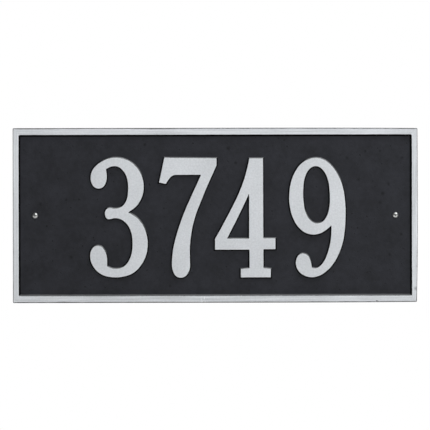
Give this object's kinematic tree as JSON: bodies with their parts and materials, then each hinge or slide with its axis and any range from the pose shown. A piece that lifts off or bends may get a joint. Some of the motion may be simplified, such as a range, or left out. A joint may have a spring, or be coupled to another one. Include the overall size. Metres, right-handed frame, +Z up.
{
  "type": "house number plaque",
  "caption": "Rectangular cast plaque with a raised rim and large raised house numerals on a sunken field, fixed flat to a wall by a screw near each end.",
  "frame": {"origin": "middle of the flat back face, which lies on the wall", "axes": "+X along the plaque to the viewer's right, +Y into the wall, +Z up; the numerals face -Y"},
  "size_m": [0.419, 0.035, 0.181],
  "materials": {
    "casting": "sand-cast, black enamel, with matte silver paint on the rim and the numerals' faces",
    "screw": "plain bright steel"
  },
  "bodies": {
    "root": {"plaque_casting": "casting", "mounting_screw_left": "screw", "mounting_screw_right": "screw"}
  },
  "joints": []
}
